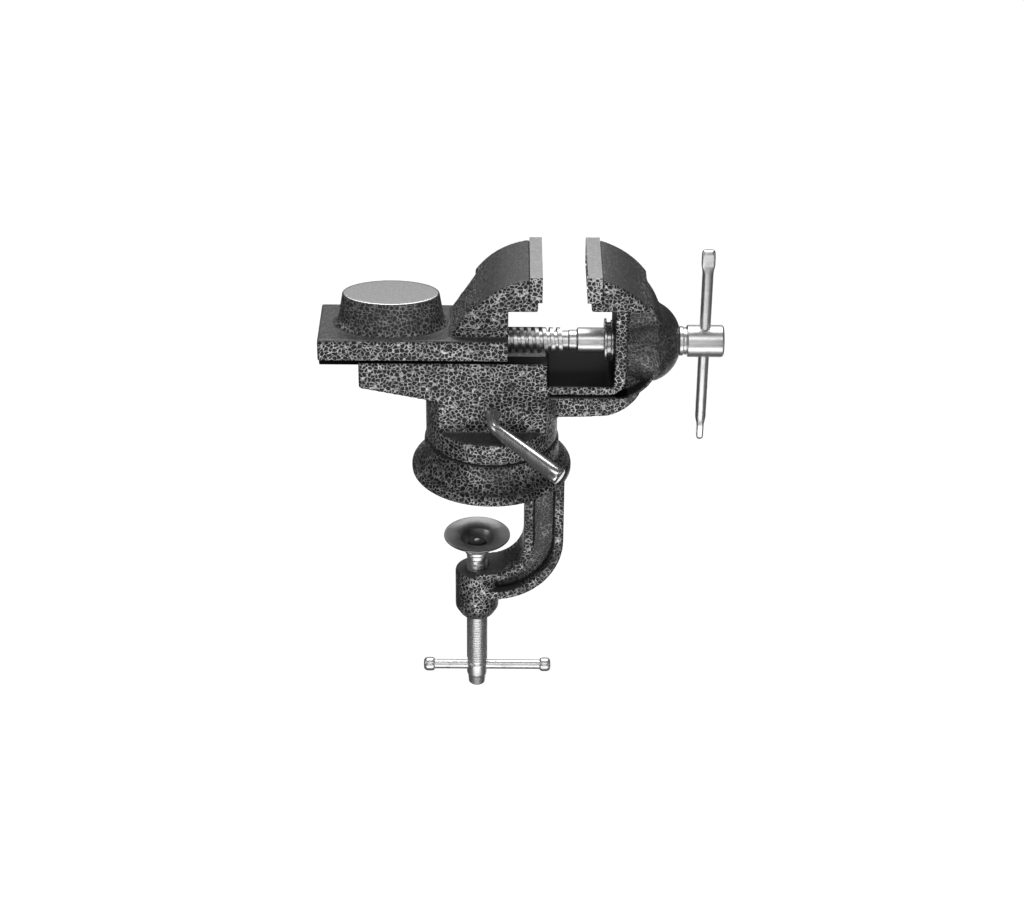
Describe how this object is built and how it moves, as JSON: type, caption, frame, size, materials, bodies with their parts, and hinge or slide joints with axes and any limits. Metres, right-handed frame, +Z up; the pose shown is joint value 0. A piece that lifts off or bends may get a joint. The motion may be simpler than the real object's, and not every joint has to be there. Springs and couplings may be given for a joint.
{
  "type": "bench vise",
  "caption": "Small clamp-on swivel bench vise with a sliding jaw, oval anvil, screw clamp for the bench edge and a lever that locks the swivel.",
  "frame": {"origin": "centre of the round flange's underside, on the swivel axis", "axes": "+Z up, +X along the main screw towards its handle, -Y towards the lock lever"},
  "size_m": [0.2175, 0.1085, 0.28],
  "materials": {
    "hammered_enamel": "black and silver hammered enamel on iron castings",
    "ground_steel": "fine ground",
    "turned_steel": "bright turned and lightly polished",
    "plate_screw_steel": "dull zinc",
    "spring_steel": "oiled dark spring steel",
    "pressed_steel": "satin with turning rings"
  },
  "bodies": {
    "swivel_base": {"swivel_base": "hammered_enamel"},
    "vise_body": {"vise_body": "hammered_enamel", "fixed_jaw_plate": "ground_steel", "fixed_jaw_plate_screws": "plate_screw_steel"},
    "sliding_jaw": {"sliding_jaw": "hammered_enamel", "sliding_jaw_plate": "ground_steel", "sliding_jaw_plate_screws": "plate_screw_steel"},
    "lead_screw": {"lead_screw": "turned_steel", "retaining_clip": "spring_steel", "spring_washer": "spring_steel", "thrust_washer": "spring_steel"},
    "lead_screw_handle": {"lead_screw_handle": "turned_steel"},
    "clamp_thrust_ring": {"clamp_pad_washer": "turned_steel"},
    "clamp_pad": {"clamp_pad": "pressed_steel"},
    "clamp_screw": {"clamp_screw": "turned_steel"},
    "clamp_handle": {"clamp_handle": "turned_steel", "clamp_handle_knobs": "turned_steel"},
    "lock_shoe": {"lock_shoe": "turned_steel"},
    "lock_lever": {"lock_lever": "turned_steel"}
  },
  "joints": [
    {"name": "swivel", "type": "hinge", "parent": "swivel_base", "child": "vise_body", "pos_m": [0, 0, 0.021], "axis": [0, 0, 1], "continuous": true},
    {"name": "lead_screw_turn", "type": "hinge", "parent": "vise_body", "child": "lead_screw", "pos_m": [0.1, 0, 0.0792], "axis": [1, 0, 0], "range_deg": [-2120, 2380]},
    {"name": "jaw_slide", "type": "slide", "parent": "vise_body", "child": "sliding_jaw", "axis": [1, 0, 0], "range_m": [-0.0264, 0.0235]},
    {"name": "lead_handle_slide", "type": "slide", "parent": "lead_screw", "child": "lead_screw_handle", "axis": [0, 0, 1], "range_m": [-0.032, 0.0375]},
    {"name": "lock_shoe_travel", "type": "slide", "parent": "vise_body", "child": "lock_shoe", "axis": [0, 1, 0], "range_m": [-0.00052, 0.00007]},
    {"name": "lock_lever_turn", "type": "hinge", "parent": "lock_shoe", "child": "lock_lever", "pos_m": [0.0008, -0.022, 0.0455], "axis": [0, 1, 0], "range_deg": [-150, 21]},
    {"name": "clamp_travel", "type": "slide", "parent": "swivel_base", "child": "clamp_thrust_ring", "axis": [0, 0, 1], "range_m": [-0.0078, 0.033]},
    {"name": "clamp_screw_turn", "type": "hinge", "parent": "clamp_thrust_ring", "child": "clamp_screw", "pos_m": [-0.008, 0, -0.1], "axis": [0, 0, 1], "range_deg": [-1610, 6800]},
    {"name": "clamp_pad_tilt", "type": "hinge", "parent": "clamp_thrust_ring", "child": "clamp_pad", "pos_m": [-0.008, 0, -0.04], "axis": [0, 1, 0], "range_deg": [-6, 6]},
    {"name": "clamp_handle_slide", "type": "slide", "parent": "clamp_screw", "child": "clamp_handle", "axis": [1, 0, 0], "range_m": [-0.03, 0.0178]}
  ],
  "couplings": [
    {"joint": "lead_screw_turn", "follows": "jaw_slide", "rad_per_m": -1570.8},
    {"joint": "lock_lever_turn", "follows": "lock_shoe_travel", "rad_per_m": 5026.5},
    {"joint": "clamp_screw_turn", "follows": "clamp_travel", "rad_per_m": 3590.4}
  ]
}
